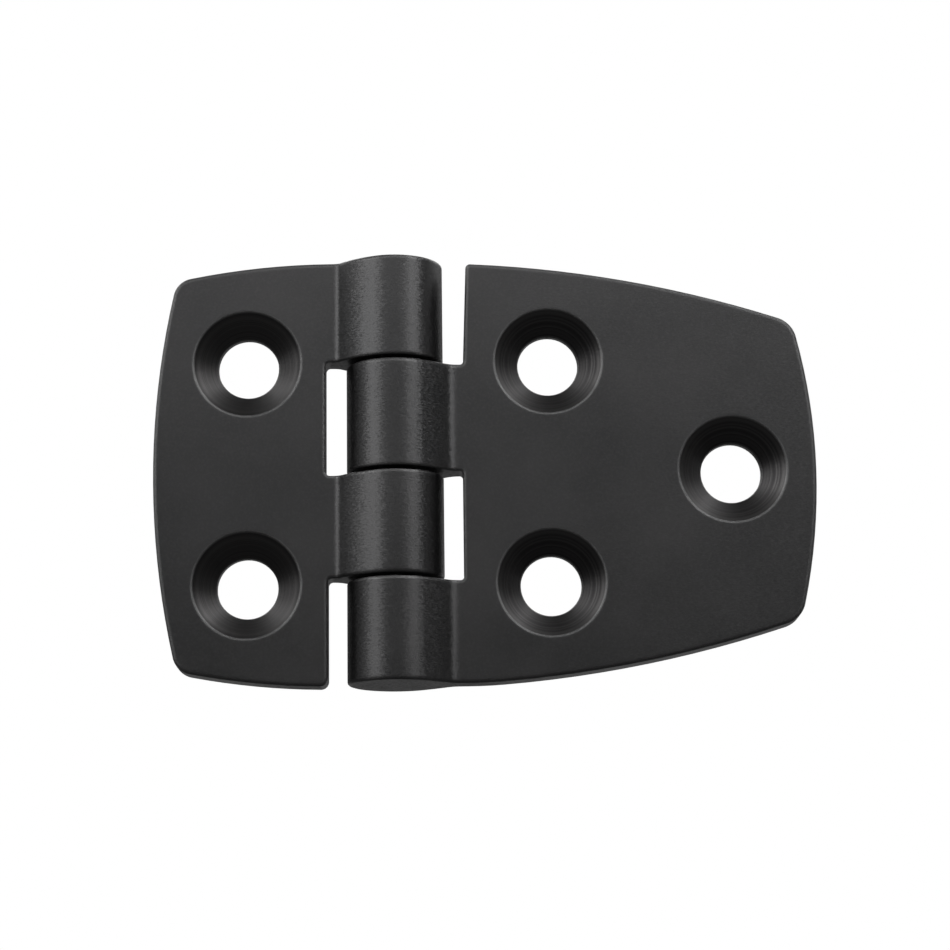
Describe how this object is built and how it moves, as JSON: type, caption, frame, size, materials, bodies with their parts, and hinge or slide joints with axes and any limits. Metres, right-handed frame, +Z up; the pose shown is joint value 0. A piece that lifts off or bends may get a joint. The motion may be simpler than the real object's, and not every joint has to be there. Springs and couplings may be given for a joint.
{
  "type": "door hinge",
  "caption": "Surface-mounted door hinge: a short leaf and a longer leaf with a narrowed, rounded end, joined by interleaved barrel knuckles on a hidden pin, with countersunk screw holes.",
  "frame": {"origin": "on the pin axis, level with the middle of the screw rows and midway through the thickness of the leaves", "axes": "+Z up along the pin, +X from the pin towards the long door leaf, -Y the way the countersunk faces look, with the hinge lying open flat as it is screwed to a door and its frame"},
  "size_m": [0.0587, 0.0086, 0.0382],
  "materials": {
    "leaf_black": "satin black coating over finely brushed cast stainless steel",
    "pin_steel": "ground, with dark ends"
  },
  "bodies": {
    "frame_side": {"frame_leaf": "leaf_black", "hinge_pin": "pin_steel"},
    "door_side": {"door_leaf": "leaf_black"}
  },
  "joints": [
    {"name": "leaf_swing", "type": "hinge", "parent": "frame_side", "child": "door_side", "pos_m": [0, 0, 0], "axis": [0, 0, 1], "range_deg": [-150, 150]}
  ]
}
